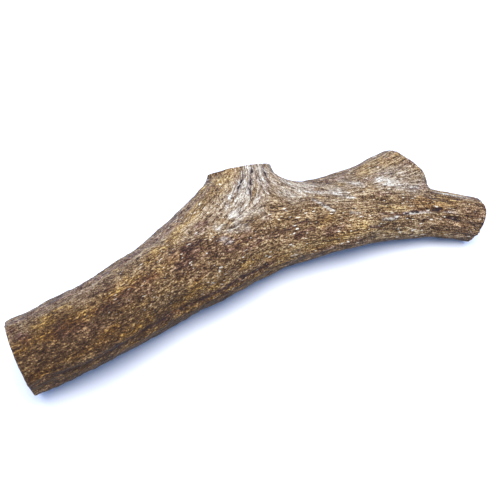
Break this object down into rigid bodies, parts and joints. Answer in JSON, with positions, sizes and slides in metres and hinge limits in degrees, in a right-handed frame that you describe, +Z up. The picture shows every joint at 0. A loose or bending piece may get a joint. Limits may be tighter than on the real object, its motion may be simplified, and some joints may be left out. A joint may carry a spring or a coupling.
{
  "type": "elk antler piece",
  "caption": "Sawn length of elk antler with a thick bowed beam, a side stump where a tine was cut off and a short forked end.",
  "frame": {"origin": "centre of the underside of the box around the piece, on the table that it rests on", "axes": "+X from the thick sawn end to the thin one, +Y to the side that both tines grow towards, +Z up"},
  "size_m": [0.2996, 0.1104, 0.0563],
  "materials": {
    "antler_bone": "brown grained antler bone with a slight sheen, paler and worn on its ridges, with cream and brown sawn ends"
  },
  "bodies": {
    "root": {"beam": "antler_bone", "middle_tine": "antler_bone", "fork_tine": "antler_bone"}
  },
  "joints": []
}
